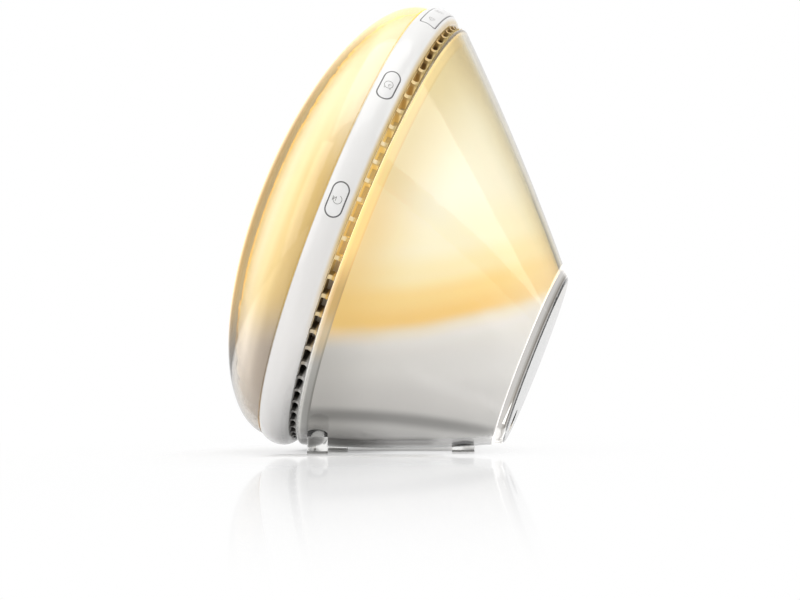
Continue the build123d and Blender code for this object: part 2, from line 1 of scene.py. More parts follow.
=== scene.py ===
import bpy
import numpy as np
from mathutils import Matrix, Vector


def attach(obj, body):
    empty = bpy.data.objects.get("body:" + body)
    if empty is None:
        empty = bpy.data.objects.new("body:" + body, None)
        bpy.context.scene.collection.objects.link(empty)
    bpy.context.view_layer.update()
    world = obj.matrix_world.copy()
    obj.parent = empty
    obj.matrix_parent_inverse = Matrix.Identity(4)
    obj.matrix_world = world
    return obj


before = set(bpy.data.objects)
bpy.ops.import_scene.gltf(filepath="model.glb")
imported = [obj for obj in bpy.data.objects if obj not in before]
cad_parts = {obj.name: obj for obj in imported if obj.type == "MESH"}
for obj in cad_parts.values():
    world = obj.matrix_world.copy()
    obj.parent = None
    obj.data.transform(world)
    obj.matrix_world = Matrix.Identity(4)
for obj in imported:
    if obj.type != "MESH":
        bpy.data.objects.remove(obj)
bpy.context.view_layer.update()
scene = bpy.context.scene
scene.view_settings.view_transform = "Standard"


# ---- Camera
# A long lens a metre from the clock's side, almost at table height and tipped slightly upwards, so
# that the clock is seen edge on with its dome to the left and its rear housing to the right.
pan, tilt = 0.10434, 0.03936
camera = bpy.data.objects.new("camera", bpy.data.cameras.new("camera"))
scene.collection.objects.link(camera)
camera.data.lens = 110.96
camera.data.sensor_width = 36.0
camera.data.clip_end = 50.0
camera.location = (1.04442, 0.10914, 0.02324)
look = Vector((-np.cos(tilt) * np.cos(pan), -np.cos(tilt) * np.sin(pan), np.sin(tilt)))
camera.rotation_mode = "QUATERNION"
camera.rotation_quaternion = look.to_track_quat("-Z", "Y")
scene.camera = camera


# ---- Studio floor, backdrop and lamps
# The floor is a polished white table with the clock's shadow, partly painted, and a weak mirror image, and it goes over
# into the white backdrop. Grey cards before and behind the clock show only in clear walls.
def paint(red, green, blue):
    """A colour as a screen shows it, 0 to 255, as the renderer's linear values."""
    share = np.array([red, green, blue]) / 255
    linear = np.where(share <= 0.04045, share / 12.92, ((share + 0.055) / 1.055) ** 2.4)
    return (*(float(c) for c in linear), 1.0)


def wire(tree, value, socket):
    """Links an output to a socket, or writes a plain value into it."""
    if isinstance(value, bpy.types.NodeSocket):
        tree.links.new(value, socket)
    else:
        socket.default_value = value


def calc(tree, operation, *values):
    """One arithmetic step on sockets or numbers."""
    step = tree.nodes.new("ShaderNodeMath")
    step.operation = operation
    for place, value in enumerate(values):
        wire(tree, value, step.inputs[place])
    return step.outputs[0]


def shares(tree, value, low, high, to_low=0.0, to_high=1.0):
    """A value between two limits as a smooth share of the way from the one to the other."""
    step = tree.nodes.new("ShaderNodeMapRange")
    step.interpolation_type = "SMOOTHSTEP"
    for place, number in enumerate((value, low, high, to_low, to_high)):
        wire(tree, number, step.inputs[place])
    return step.outputs[0]


def product(tree, *values):
    """All values multiplied."""
    result = values[0]
    for value in values[1:]:
        result = calc(tree, "MULTIPLY", result, value)
    return result


def near(tree, value, middle, inner, outer, peak=1.0):
    """A peak within an inner distance of a middle value, falling smoothly to 0 at an outer distance."""
    off = calc(tree, "ABSOLUTE", calc(tree, "SUBTRACT", value, middle))
    return shares(tree, off, inner, outer, peak, 0.0)


def place_of(tree):
    """The point on the surface, in metres, in the clock's own frame."""
    return tree.nodes.new("ShaderNodeTexCoord").outputs["Object"]


def seen_directly(tree):
    """1 for rays from the camera or from gloss and glass, 0 for the light that falls on things."""
    path = tree.nodes.new("ShaderNodeLightPath")
    seen = calc(tree, "MAXIMUM", path.outputs["Is Camera Ray"], path.outputs["Is Glossy Ray"])
    return calc(tree, "MAXIMUM", seen, path.outputs["Is Transmission Ray"])


AMBIENT_LIGHT, CARD_START, CARD_FULL, CARD_TONE = 0.5, 0.2, 0.42, 0.42
world = bpy.data.worlds.new("studio")
scene.world = world
world.use_nodes = True
sky = world.node_tree
backdrop = sky.nodes["Background"]
backdrop.inputs["Color"].default_value = (1, 1, 1, 1)
heading = sky.nodes.new("ShaderNodeSeparateXYZ")
wire(sky, sky.nodes.new("ShaderNodeTexCoord").outputs["Generated"], heading.inputs[0])
grey_cards = shares(sky, calc(sky, "ABSOLUTE", heading.outputs["Y"]), CARD_START, CARD_FULL, 1.0, CARD_TONE)
ray = sky.nodes.new("ShaderNodeLightPath")
in_clear_walls = shares(sky, ray.outputs["Is Singular Ray"], 0, 1, 1.0, grey_cards)
wire(sky, shares(sky, seen_directly(sky), 0, 1, AMBIENT_LIGHT, in_clear_walls), backdrop.inputs["Strength"])

FLOOR_FAR, FLOOR_NEAR, FLOOR_HALF_WIDTH = -0.9, 3.0, 3.0
floor_mesh = bpy.data.meshes.new("floor")
floor_corners = [
    (FLOOR_FAR, -FLOOR_HALF_WIDTH, 0), (FLOOR_NEAR, -FLOOR_HALF_WIDTH, 0),
    (FLOOR_NEAR, FLOOR_HALF_WIDTH, 0), (FLOOR_FAR, FLOOR_HALF_WIDTH, 0),
]
floor_mesh.from_pydata(floor_corners, [], [(0, 1, 2, 3)])
floor = bpy.data.objects.new("floor", floor_mesh)
scene.collection.objects.link(floor)
floor_finish = bpy.data.materials.new("polished_table")
floor_finish.use_nodes = True
tree = floor_finish.node_tree
table_top = tree.nodes["Principled BSDF"]
table_top.inputs["Base Color"].default_value = paint(250, 250, 250)
table_top.inputs["Roughness"].default_value = 1.0
table_top.inputs["Specular IOR Level"].default_value = 0.0
mirror = tree.nodes.new("ShaderNodeBsdfGlossy")
mirror.inputs["Color"].default_value = (1, 1, 1, 1)
mirror.inputs["Roughness"].default_value = 0.03
white = tree.nodes.new("ShaderNodeEmission")
white.inputs["Color"].default_value = (1, 1, 1, 1)
white.inputs["Strength"].default_value = 1.0


def distance(tree, start, *reach):
    """Length of the way from a start, with each direction divided by its own reach."""
    away = tree.nodes.new("ShaderNodeMapping")
    away.vector_type = "POINT"
    wire(tree, place_of(tree), away.inputs["Vector"])
    away.inputs["Scale"].default_value = tuple(1 / size for size in reach)
    away.inputs["Location"].default_value = tuple(-at / size for at, size in zip(start, reach))
    length = tree.nodes.new("ShaderNodeVectorMath")
    length.operation = "LENGTH"
    tree.links.new(away.outputs[0], length.inputs[0])
    return length.outputs["Value"]


# The backdrop's white comes in step by step with the way from the clock's foot, each step from a
# start to an end and from a share to a share. Near the foot the steps are set so that they paint the clock's soft
# shadow on the table. Where the clock nearly meets the table, under it and just before it, the white is held back
# further as a painted contact shadow, and the table mirrors less.
FOOT_MIDDLE, FOOT_REACH = (0, -0.022, 0), (0.1, 0.03, 1)
WHITE_STEPS = ((0.1, 0.9, 0.04, 0.6), (1.2, 2.8, 0, 0.34), (2.8, 7, 0, 0.06))
CLOSE_UNDER, CLOSE_BEFORE, CLOSE_ALONG = (-0.08, 0.04, 0.09), (0.07, 0.01, 0.035), (-0.012, 0.028, 0.042)
CONTACT_SHADOW, MIRROR_SHARE, MIRROR_START, MIRROR_END = 0.92, 0.27, 0.25, 0.76
MIRROR_CLEAR, MIRROR_CONTACT = 1.1, 0.25
from_foot = distance(tree, FOOT_MIDDLE, *FOOT_REACH)
near_white, mid_white, far_white = (shares(tree, from_foot, *step) for step in WHITE_STEPS)
lightened = calc(tree, "ADD", near_white, calc(tree, "ADD", mid_white, far_white))
spot = tree.nodes.new("ShaderNodeSeparateXYZ")
wire(tree, place_of(tree), spot.inputs[0])
under = near(tree, spot.outputs["X"], *CLOSE_UNDER)
before = near(tree, spot.outputs["X"], *CLOSE_BEFORE)
close = near(tree, spot.outputs["Y"], *CLOSE_ALONG, CONTACT_SHADOW)
# Painted contact shadow: under and just before the clock the white emission is held back.
painted_contact_shadow = product(tree, calc(tree, "MAXIMUM", under, before), close)
lightened = product(tree, lightened, calc(tree, "SUBTRACT", 1.0, painted_contact_shadow))
fade = tree.nodes.new("ShaderNodeMixShader")
wire(tree, product(tree, lightened, seen_directly(tree)), fade.inputs["Fac"])
tree.links.new(table_top.outputs[0], fade.inputs[1])
tree.links.new(white.outputs[0], fade.inputs[2])
polish = tree.nodes.new("ShaderNodeMixShader")
shine = shares(tree, distance(tree, (0, 0, 0), 1, 1, 1), MIRROR_START, MIRROR_END, MIRROR_SHARE, 0.0)
dulled = shares(tree, painted_contact_shadow, 0.1, CONTACT_SHADOW, MIRROR_CLEAR, MIRROR_CONTACT)
wire(tree, product(tree, shine, dulled), polish.inputs["Fac"])
tree.links.new(fade.outputs[0], polish.inputs[1])
tree.links.new(mirror.outputs[0], polish.inputs[2])
tree.links.new(polish.outputs[0], tree.nodes["Material Output"].inputs["Surface"])
floor_mesh.materials.append(floor_finish)


def softbox(name, place, aim, width, height, power):
    """An area lamp of a width and height, at a place and turned towards a point."""
    lamp = bpy.data.objects.new(name, bpy.data.lights.new(name, "AREA"))
    lamp.data.shape = "RECTANGLE"
    lamp.data.size, lamp.data.size_y, lamp.data.energy = width, height, power
    lamp.location = place
    lamp.rotation_mode = "QUATERNION"
    lamp.rotation_quaternion = (Vector(aim) - Vector(place)).to_track_quat("-Z", "Y")
    scene.collection.objects.link(lamp)


CLOCK_HEART = (0, 0, 0.1)
softbox("top_light", (0.3, -0.1, 1.6), CLOCK_HEART, 1.6, 1.6, 11.0)
softbox("front_light", (0.9, -1.3, 0.7), CLOCK_HEART, 0.9, 1.4, 5.0)
softbox("rear_light", (0.1, 1.5, 0.8), CLOCK_HEART, 1.0, 1.1, 3.6)


# ---- Front dome: opal diffuser
# A shallow bowl moulded in satin opal acrylic, held by its rim behind the clear cover. Its colour is
# painted light: warm in the middle, cream further out, golden at the rim and paler high up, with a painted
# shade that keeps its foot grey, and it glows a little as painted light.
MM = 0.001  # every length below is in millimetres, and meshes and nodes are in metres
LEAN = np.radians(21.6)
SIDE = np.array([1.0, 0.0, 0.0])
UP = np.array([0.0, np.sin(LEAN), np.cos(LEAN)])
BACK = np.array([0.0, np.cos(LEAN), -np.sin(LEAN)])
CENTRE = np.array([0.0, -0.021778, 0.097527])  # the ring's, in metres
DOME_FOOT, DOME_LIGHT, DOME_HEAD, DOME_BAND = (42, 66), (34, 66), (105, 150), (60, 80)


def new_finish(name, **sockets):
    """A material whose Principled shader starts with these plain values."""
    finish = bpy.data.materials.new(name)
    finish.use_nodes = True
    shader = finish.node_tree.nodes["Principled BSDF"]
    for socket, value in sockets.items():
        shader.inputs[socket.replace("_", " ")].default_value = value
    return finish, finish.node_tree, shader


def along(tree, direction, start=CENTRE):
    """How far the point lies along a direction from a start, in millimetres: a dot product."""
    offset = tree.nodes.new("ShaderNodeVectorMath")
    offset.operation = "SUBTRACT"
    wire(tree, place_of(tree), offset.inputs[0])
    offset.inputs[1].default_value = tuple(start)
    dot = tree.nodes.new("ShaderNodeVectorMath")
    dot.operation = "DOT_PRODUCT"
    tree.links.new(offset.outputs[0], dot.inputs[0])
    dot.inputs[1].default_value = tuple(np.asarray(direction) / MM)
    return dot.outputs["Value"]


def above_table(tree):
    """Height of the point above the table, in millimetres."""
    return along(tree, (0, 0, 1), (0, 0, 0))


def from_axis(tree):
    """Distance from the ring's axis in millimetres: the root of the two squares added."""
    side = along(tree, SIDE)
    up = along(tree, UP)
    return calc(tree, "SQRT", calc(tree, "ADD", product(tree, side, side), product(tree, up, up)))


def tones(tree, value, *stops):
    """Colours at given values, blended in between."""
    low, high = stops[0][0], stops[-1][0]
    share = tree.nodes.new("ShaderNodeMapRange")
    for place, number in enumerate((value, low, high, 0.0, 1.0)):
        wire(tree, number, share.inputs[place])
    band = tree.nodes.new("ShaderNodeValToRGB")
    tree.links.new(share.outputs[0], band.inputs[0])
    band.color_ramp.interpolation = "EASE"
    while len(band.color_ramp.elements) < len(stops):
        band.color_ramp.elements.new(0.5)
    for element, (position, colour) in zip(band.color_ramp.elements, stops):
        element.position = (position - low) / (high - low)
        element.color = paint(*colour)
    return band.outputs["Color"]


def blend(tree, share, first, second):
    """Two colours mixed by a share."""
    colour_a, colour_b, colour_out = 6, 7, 2  # the node's sockets for colours
    mix = tree.nodes.new("ShaderNodeMix")
    mix.data_type = "RGBA"
    wire(tree, share, mix.inputs["Factor"])
    wire(tree, first, mix.inputs[colour_a])
    wire(tree, second, mix.inputs[colour_b])
    return mix.outputs[colour_out]


def cloud(tree, size, detail=2.0):
    """Soft noise whose lumps are about a size in millimetres across."""
    noise = tree.nodes.new("ShaderNodeTexNoise")
    wire(tree, place_of(tree), noise.inputs["Vector"])
    noise.inputs["Scale"].default_value = 1 / (size * MM)
    noise.inputs["Detail"].default_value = detail
    return noise.outputs["Fac"]


def texture(tree, shader, size, height):
    """A fine moulded grain, raised by a height in millimetres."""
    bump = tree.nodes.new("ShaderNodeBump")
    bump.inputs["Distance"].default_value = height * MM
    tree.links.new(cloud(tree, size), bump.inputs["Height"])
    tree.links.new(bump.outputs[0], shader.inputs["Normal"])


def light_up(tree, shader, colour, strength):
    """A surface with a colour that also gives light of that colour."""
    wire(tree, colour, shader.inputs["Base Color"])
    wire(tree, colour, shader.inputs["Emission Color"])
    wire(tree, strength, shader.inputs["Emission Strength"])


def dress(finish, *names):
    """Gives CAD nodes a material."""
    for name in names:
        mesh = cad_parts[name].data
        mesh.materials.clear()
        mesh.materials.append(finish)


opal_front, tree, shader = new_finish("opal_front", Roughness=0.45)
# Painted light and shade: golden glow at the rim, a paler top and a grey shaded foot.
rim_glow_tone = tones(
    tree, from_axis(tree), (0, (244, 220, 158)), (40, (245, 228, 180)), (68, (245, 238, 214)), (80, (245, 237, 214)),
    (86, (242, 228, 190)), (90, (228, 206, 152)), (93, (204, 176, 112)),
)
shaded_foot_tone = tones(
    tree, from_axis(tree), (0, (236, 230, 220)), (70, (248, 243, 236)), (80, (252, 247, 240)), (87, (248, 240, 229)),
    (90.5, (210, 200, 187)), (93, (172, 160, 147)),
)
height = above_table(tree)
lit_high_edge = product(tree, shares(tree, height, *DOME_HEAD, 0, 0.6), shares(tree, from_axis(tree), *DOME_BAND))
rim_glow_tone = blend(tree, lit_high_edge, rim_glow_tone, paint(244, 240, 226))
dome_colour = blend(tree, shares(tree, height, *DOME_FOOT), shaded_foot_tone, rim_glow_tone)
light_up(tree, shader, dome_colour, shares(tree, height, *DOME_LIGHT, 0.26, 0.2))
texture(tree, shader, 1.2, 0.01)
dress(opal_front, "front_diffuser")


# ---- Front dome: the time
# Amber seven-segment digits and a colon, lit from the display board inside the dome. Their light
# shows on the opal bowl as flat bars with pointed ends.
OPAL_RADIUS, OPAL_HEIGHT, LIGHT_LIFT = 93.4, 33.6, 0.12
DIGIT_HALF_WIDTH, DIGIT_QUARTER, BAR_HALF_WIDTH, BAR_SPLIT = 4.3, 4.0, 0.9, 0.35
DIGIT_MIDDLES, COLON_RADIUS, COLON_RISE, TIME_LIGHT = (-8.4, 8.4, 22.4), 1.1, 3.2, 0.25
SEVEN, NOUGHT = "top upper_right lower_right", "top upper_right lower_right foot lower_left upper_left"
BAR_PLACES = {  # half widths across, quarters up, upright or flat
    "top": (0, 2, 0), "foot": (0, -2, 0), "upper_right": (1, 1, 1), "lower_right": (1, -1, 1),
    "upper_left": (-1, 1, 1), "lower_left": (-1, -1, 1),
}


def on_opal(flat):
    """Points on the diffuser: forward of the ring by the dome's height times the root of one less the
    squared share of the radius."""
    share = np.linalg.norm(flat, axis=1) / OPAL_RADIUS
    forward = (OPAL_HEIGHT + LIGHT_LIFT) * np.sqrt(1 - share**2)
    return CENTRE + (flat[:, :1] * SIDE + flat[:, 1:] * UP - forward[:, None] * BACK) * MM


def lit_bar(middle, across, rise, upright):
    """Six corners of one bar: its tips at plus and minus half its length, and its shoulders half a
    width inwards and half a width off the middle line. An upright bar is that turned by a right angle."""
    half = (DIGIT_QUARTER if upright else DIGIT_HALF_WIDTH) - BAR_SPLIT
    end = half - BAR_HALF_WIDTH
    flat = np.array([(-half, 0), (-end, -1), (end, -1), (half, 0), (end, 1), (-end, 1)]) * (1, BAR_HALF_WIDTH)
    if upright:
        flat = flat[:, ::-1] * (-1, 1)
    return flat + (middle + across * DIGIT_HALF_WIDTH, rise * DIGIT_QUARTER)


def thin_layer(name, corners, faces, finish):
    """A piece at the origin from its corner points and faces, with a finish."""
    mesh = bpy.data.meshes.new(name)
    mesh.from_pydata(corners.tolist(), [], faces.tolist())
    mesh.materials.append(finish)
    piece = bpy.data.objects.new(name, mesh)
    scene.collection.objects.link(piece)
    return piece


bars = [
    lit_bar(middle, *BAR_PLACES[name])
    for middle, digit in zip(DIGIT_MIDDLES, (SEVEN, NOUGHT, NOUGHT)) for name in digit.split()
]
corner_turns = np.radians(np.arange(0, 360, 60))
dot = COLON_RADIUS * np.stack([np.cos(corner_turns), np.sin(corner_turns)], 1)
bars += [dot + (0, rise) for rise in (-COLON_RISE, COLON_RISE)]
time_amber, tree, shader = new_finish("time_amber", Roughness=0.4)
amber = blend(tree, cloud(tree, 3.0), paint(226, 120, 34), paint(240, 138, 50))
light_up(tree, shader, amber, TIME_LIGHT)
bar_faces = np.arange(6 * len(bars)).reshape(-1, 6)
time_light = thin_layer("time_light", on_opal(np.concatenate(bars)), bar_faces, time_amber)
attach(time_light, "housing")


# ---- Front dome: clear cover
# A polished acrylic shell, 3 mm thick, let into the white ring. Where its wall is seen along itself
# it has a painted golden glow from the lamps in its upper part and painted dark edges lower down, and face on it is
# clear.
def let_lamps_in(tree, shader):
    """Clear plastic throws no shadow: rays from lamps pass it, and all others meet the shader."""
    path = tree.nodes.new("ShaderNodeLightPath")
    opening = tree.nodes.new("ShaderNodeBsdfTransparent")
    either = tree.nodes.new("ShaderNodeMixShader")
    tree.links.new(path.outputs["Is Shadow Ray"], either.inputs["Fac"])
    tree.links.new(shader.outputs[0], either.inputs[1])
    tree.links.new(opening.outputs[0], either.inputs[2])
    tree.links.new(either.outputs[0], tree.nodes["Material Output"].inputs["Surface"])


def wall_along(tree):
    """0 where a wall is seen face on, and 1 where it is seen along itself."""
    facing = tree.nodes.new("ShaderNodeLayerWeight")
    facing.inputs["Blend"].default_value = 0.5
    return facing.outputs["Facing"]


COVER_FOOT, EDGE_GLOW, EDGE_SHARPNESS = (36, 72), 1.05, 6.0
clear_front, tree, shader = new_finish("clear_front", Roughness=0.0, IOR=1.4, Transmission_Weight=1.0)
edge = wall_along(tree)
upper = shares(tree, above_table(tree), *COVER_FOOT)
# Painted light at the silhouettes: golden lit edges high up, dark shaded edges low down.
lit_edge = tones(
    tree, edge, (0, (255, 254, 250)), (0.55, (255, 248, 226)), (0.74, (248, 214, 134)), (1, (196, 142, 54))
)
dim_edge = tones(
    tree, edge, (0, (255, 254, 252)), (0.5, (244, 238, 230)), (0.72, (186, 174, 158)), (1, (64, 54, 44))
)
wire(tree, blend(tree, upper, dim_edge, lit_edge), shader.inputs["Base Color"])
shader.inputs["Emission Color"].default_value = paint(255, 194, 34)
edge_glow = product(tree, calc(tree, "POWER", edge, EDGE_SHARPNESS), upper, EDGE_GLOW)
wire(tree, edge_glow, shader.inputs["Emission Strength"])
let_lamps_in(tree, shader)
dress(clear_front, "front_cover")


# ---- White ring
# A one-piece ring of polished white plastic between dome and housing. It is moulded with openings
# for the key and the buttons. Its colour is painted lighter towards the top as painted top light, its rear
# lip carries painted warm light from the vents, and a painted shadow darkens the seam at its front edge.
PILL_ANGLES = (56.3, 87.2)
PILL_DEPTH, PILL_STRAIGHT, PILL_ROUND, CROWN = 5.95, 3.85, 3.25, 98.6
KEY_DEPTH, KEY_HALF_WIDTH, KEY_HALF_LENGTH, KEY_CORNER = 6.5, 3.45, 47.7, 1.6
BELOW_KEY, FAR_OFF = (50, 70), 100
PILL_GAP_START, PILL_GAP_END, KEY_GAP = (-0.35, -0.12), (0.2, 0.45), (0.12, 0.42)
PILL_GAP_SHADE, KEY_GAP_SHADE = 0.88, 0.6
LIP_DEPTH, LIP_HEIGHT, SEAM_RADIUS, SEAM_DEPTH = (10.4, 12.0), (40, 90), (97.0, 97.5), (0.5, 1.5)


def from_pills(tree):
    """Distance to the nearer pill's middle line: the root of depth squared plus what lies past its
    ends squared."""
    turned = calc(tree, "ARCTAN2", calc(tree, "ABSOLUTE", along(tree, SIDE)), along(tree, UP))
    depth = calc(tree, "SUBTRACT", along(tree, BACK), PILL_DEPTH)
    found = []
    for middle in PILL_ANGLES:
        arc = calc(tree, "MULTIPLY", calc(tree, "SUBTRACT", turned, float(np.radians(middle))), CROWN)
        past = calc(tree, "MAXIMUM", calc(tree, "SUBTRACT", calc(tree, "ABSOLUTE", arc), PILL_STRAIGHT), 0.0)
        squares = calc(tree, "ADD", product(tree, past, past), product(tree, depth, depth))
        found.append(calc(tree, "SQRT", squares))
    return calc(tree, "MINIMUM", *found)


def from_key_edge(tree):
    """How far the point lies outside the key's outline, a rectangle with round corners: what is past the
    inner rectangle, its two squares added and rooted, less the corners' radius. Lower down on the ring,
    far from the key, it is a large value."""
    past = []
    for value, half in (
        (along(tree, SIDE), KEY_HALF_LENGTH),
        (calc(tree, "SUBTRACT", along(tree, BACK), KEY_DEPTH), KEY_HALF_WIDTH),
    ):
        over = calc(tree, "SUBTRACT", calc(tree, "ABSOLUTE", value), half - KEY_CORNER)
        past.append(calc(tree, "MAXIMUM", over, 0.0))
    squares = [product(tree, over, over) for over in past]
    outside = calc(tree, "SUBTRACT", calc(tree, "SQRT", calc(tree, "ADD", *squares)), KEY_CORNER)
    return calc(tree, "ADD", outside, shares(tree, along(tree, UP), *BELOW_KEY, FAR_OFF, 0))


def shadow_gap(tree, colour):
    """Darkens a colour in the narrow gap round the pills and the key: a painted shadow."""
    outside = calc(tree, "SUBTRACT", from_pills(tree), PILL_ROUND)
    pill_line = product(
        tree, shares(tree, outside, *PILL_GAP_START), shares(tree, outside, *PILL_GAP_END, 1, 0), PILL_GAP_SHADE
    )
    key_line = near(tree, from_key_edge(tree), 0.0, *KEY_GAP, KEY_GAP_SHADE)
    return blend(tree, calc(tree, "MAXIMUM", pill_line, key_line), colour, paint(74, 72, 74))


ring_white, tree, shader = new_finish("ring_white", Roughness=0.16, IOR=1.5, Coat_Weight=0.3)
depth = along(tree, BACK)
height = above_table(tree)
# Painted top light: the white gets lighter with height.
body_tone = tones(tree, height, (0, (236, 235, 234)), (60, (244, 242, 240)), (150, (250, 249, 247)))
warm_lip_light = product(tree, shares(tree, depth, *LIP_DEPTH), shares(tree, height, *LIP_HEIGHT))
body_tone = blend(tree, warm_lip_light, body_tone, paint(232, 206, 150))
# Painted shadow: a dark line in the seam where the dome meets the ring.
seam_shadow = product(tree, shares(tree, from_axis(tree), *SEAM_RADIUS, 1, 0), shares(tree, depth, *SEAM_DEPTH, 1, 0))
body_tone = blend(tree, seam_shadow, body_tone, paint(58, 46, 30))
wire(tree, shadow_gap(tree, body_tone), shader.inputs["Base Color"])
texture(tree, shader, 6.0, 0.006)
dress(ring_white, "ring_band")


# ---- Side buttons and top key
# Pill buttons and a long rocker key of the same white plastic, each in its own opening with a painted dark
# shadow gap round it and painted shade on its sides below the ring's face, and with a thin printed sign.
key_white, tree, shader = new_finish("key_white", Roughness=0.2, IOR=1.5)
# Painted shade: the sides below the ring's face go dark.
shaded_side_wall = tones(
    tree, from_axis(tree), (94.0, (60, 58, 56)), (97.1, (110, 108, 106)), (97.4, (246, 245, 244)), (99, (250, 249, 248))
)
wire(tree, shadow_gap(tree, shaded_side_wall), shader.inputs["Base Color"])
texture(tree, shader, 3.0, 0.004)
dress(
    key_white, "top_key", "upper_right_button", "lower_right_button", "upper_left_button", "lower_left_button"
)

SIGN_LINE, SIGN_LIFT = 0.24, 0.02
KEY_SIGN_ANGLE, LAMP_SIGN_ANGLE = 25.4, 16.1
CROWN_FRONT, CROWN_TOP, CROWN_REAR = (0.25, 97.3), (5.0, 98.9), (10.0, 97.6)


def crown(depth):
    """Radius of the ring's crowned face: the parabola through its front edge, its top and its shoulder."""
    return np.polyval(np.polyfit(*np.array([CROWN_FRONT, CROWN_TOP, CROWN_REAR]).T, 2), depth)


def on_crown(along_arc, depth, angle):
    """Points on the crown: the axis point plus the radius times the turned upward direction."""
    turn = np.radians(angle) + along_arc / CROWN
    radius = (crown(depth) + SIGN_LIFT)[:, None] * MM
    outward = np.sin(turn)[:, None] * SIDE + np.cos(turn)[:, None] * UP
    return CENTRE + outward * radius + depth[:, None] * MM * BACK


def stroke(points):
    """A line of constant width on the flat: each point plus and minus half the width across its
    direction."""
    points = np.asarray(points, float)
    run = np.gradient(points, axis=0)
    across = np.stack([-run[:, 1], run[:, 0]], 1) / np.linalg.norm(run, axis=1, keepdims=True)
    return points + across * SIGN_LINE / 2, points - across * SIGN_LINE / 2


def arc(middle, radius, start, end, count=28):
    """Points on a circle from one angle to another, in degrees."""
    turn = np.radians(np.linspace(start, end, count))
    return np.stack([middle[0] + radius * np.cos(turn), middle[1] + radius * np.sin(turn)], 1)


def line(*corners):
    """Points along straight runs from corner to corner."""
    corners = np.asarray(corners, float)
    steps = np.linspace(0, len(corners) - 1, 8 * (len(corners) - 1) + 1)
    return np.stack([np.interp(steps, np.arange(len(corners)), corners[:, k]) for k in (0, 1)], 1)


def printed_sign(name, body, angle, depth, strokes):
    """A sign printed on the crown at an angle and depth: every stroke as a strip of quads."""
    corners, quads, start = [], [], 0
    for points in strokes:
        for edge in stroke(points):
            corners.append(on_crown(edge[:, 0], depth + edge[:, 1], angle))
        count = len(points)
        first = start + np.arange(count - 1)
        quads.append(np.stack([first, first + 1, first + count + 1, first + count], 1))
        start += 2 * count
    corners, quads = np.concatenate(corners), np.concatenate(quads)
    sides = corners[quads]
    normal = np.cross(sides[:, 1] - sides[:, 0], sides[:, 3] - sides[:, 0])
    outward = sides.mean(1) - CENTRE
    quads = np.where((np.einsum("ij,ij->i", normal, outward) < 0)[:, None], quads[:, ::-1], quads)
    sign = thin_layer(name, corners, quads, sign_grey)
    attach(sign, body)


sign_grey, tree, shader = new_finish("sign_grey", Roughness=0.4)
wire(tree, blend(tree, cloud(tree, 0.8), paint(142, 140, 136), paint(164, 162, 158)), shader.inputs["Base Color"])
# A dial with hands and bells, a Z in a bow, two arrows with a bar each, and a lamp with rays. In each,
# x runs round the ring and y towards the rear.
alarm_sign = [
    arc((0, 0), 1.75, 0, 360), line((0, 0), (0.95, 0.35)), line((0, 0), (-0.2, 1.0)),
    line((1.5, 1.5), (2.05, 1.0)), line((1.5, -1.5), (2.05, -1.0)),
]
rest_sign = [
    arc((0, 0.25), 1.7, -115, 165), line((-0.95, -1.75), (0.75, -1.75), (-0.95, -0.45), (0.75, -0.45)),
]
brighter_sign = [line((-1.2, -1.25), (1.5, 0), (-1.2, 1.25), (-1.2, -1.25)), line((-2.0, -1.5), (-2.0, 1.5))]
dimmer_sign = [line((1.2, -1.25), (-1.5, 0), (1.2, 1.25), (1.2, -1.25)), line((2.0, -1.5), (2.0, 1.5))]
for side, hand in (("right", 1), ("left", -1)):
    for level, middle, strokes in zip(("upper", "lower"), PILL_ANGLES, (alarm_sign, rest_sign)):
        printed_sign(f"{level}_{side}_sign", f"{level}_{side}_button", hand * middle, PILL_DEPTH, strokes)
rays = [np.array([np.cos(turn), np.sin(turn)]) for turn in np.radians(np.arange(0, 360, 45))]
lamp_sign = [arc((0, 0), 1.1, 0, 360), *[line(1.55 * ray, 2.1 * ray) for ray in rays]]
printed_sign("brighter_sign", "key", KEY_SIGN_ANGLE, KEY_DEPTH, brighter_sign)
printed_sign("dimmer_sign", "key", -KEY_SIGN_ANGLE, KEY_DEPTH, dimmer_sign)
printed_sign("lamp_sign", "key", LAMP_SIGN_ANGLE, KEY_DEPTH, lamp_sign)


# ---- Vent frame
# A frame moulded in cream plastic and seated behind the ring, with 72 thin slats whose outer edges
# are hollowed. Its colour is painted light and shade: light from inside warms its upper part as a painted
# glow, low down the gaps are painted dark, and a painted shadow line marks the end of the spigot.
vent_cream, tree, shader = new_finish("vent_cream", Roughness=0.38, IOR=1.5)
radius = from_axis(tree)
depth = along(tree, BACK)
height = above_table(tree)
slat_tone = tones(
    tree, height, (5, (104, 102, 100)), (30, (146, 143, 138)), (45, (204, 192, 170)), (56, (238, 218, 172)),
    (72, (250, 228, 178)), (110, (254, 238, 200)), (145, (246, 220, 162)), (170, (226, 188, 118)),
)
gap_tone = tones(
    tree, height, (5, (8, 8, 8)), (28, (16, 14, 12)), (45, (44, 36, 28)), (60, (84, 66, 36)), (70, (112, 92, 50)),
    (80, (192, 168, 104)), (120, (204, 180, 112)), (145, (150, 118, 64)), (160, (60, 40, 18)), (175, (40, 26, 12)),
)


def turned_to(tree, direction):
    """How much the surface faces a direction: its normal times the unit vector."""
    dot = tree.nodes.new("ShaderNodeVectorMath")
    dot.operation = "DOT_PRODUCT"
    wire(tree, tree.nodes.new("ShaderNodeTexCoord").outputs["Normal"], dot.inputs[0])
    dot.inputs[1].default_value = tuple(direction)
    return dot.outputs["Value"]


def turned_outwards(tree):
    """How much the surface faces away from the ring's axis: its normal times the unit vector from there."""
    parts = [product(tree, turned_to(tree, way), along(tree, way)) for way in (SIDE, UP)]
    return calc(tree, "DIVIDE", calc(tree, "ADD", *parts), from_axis(tree))


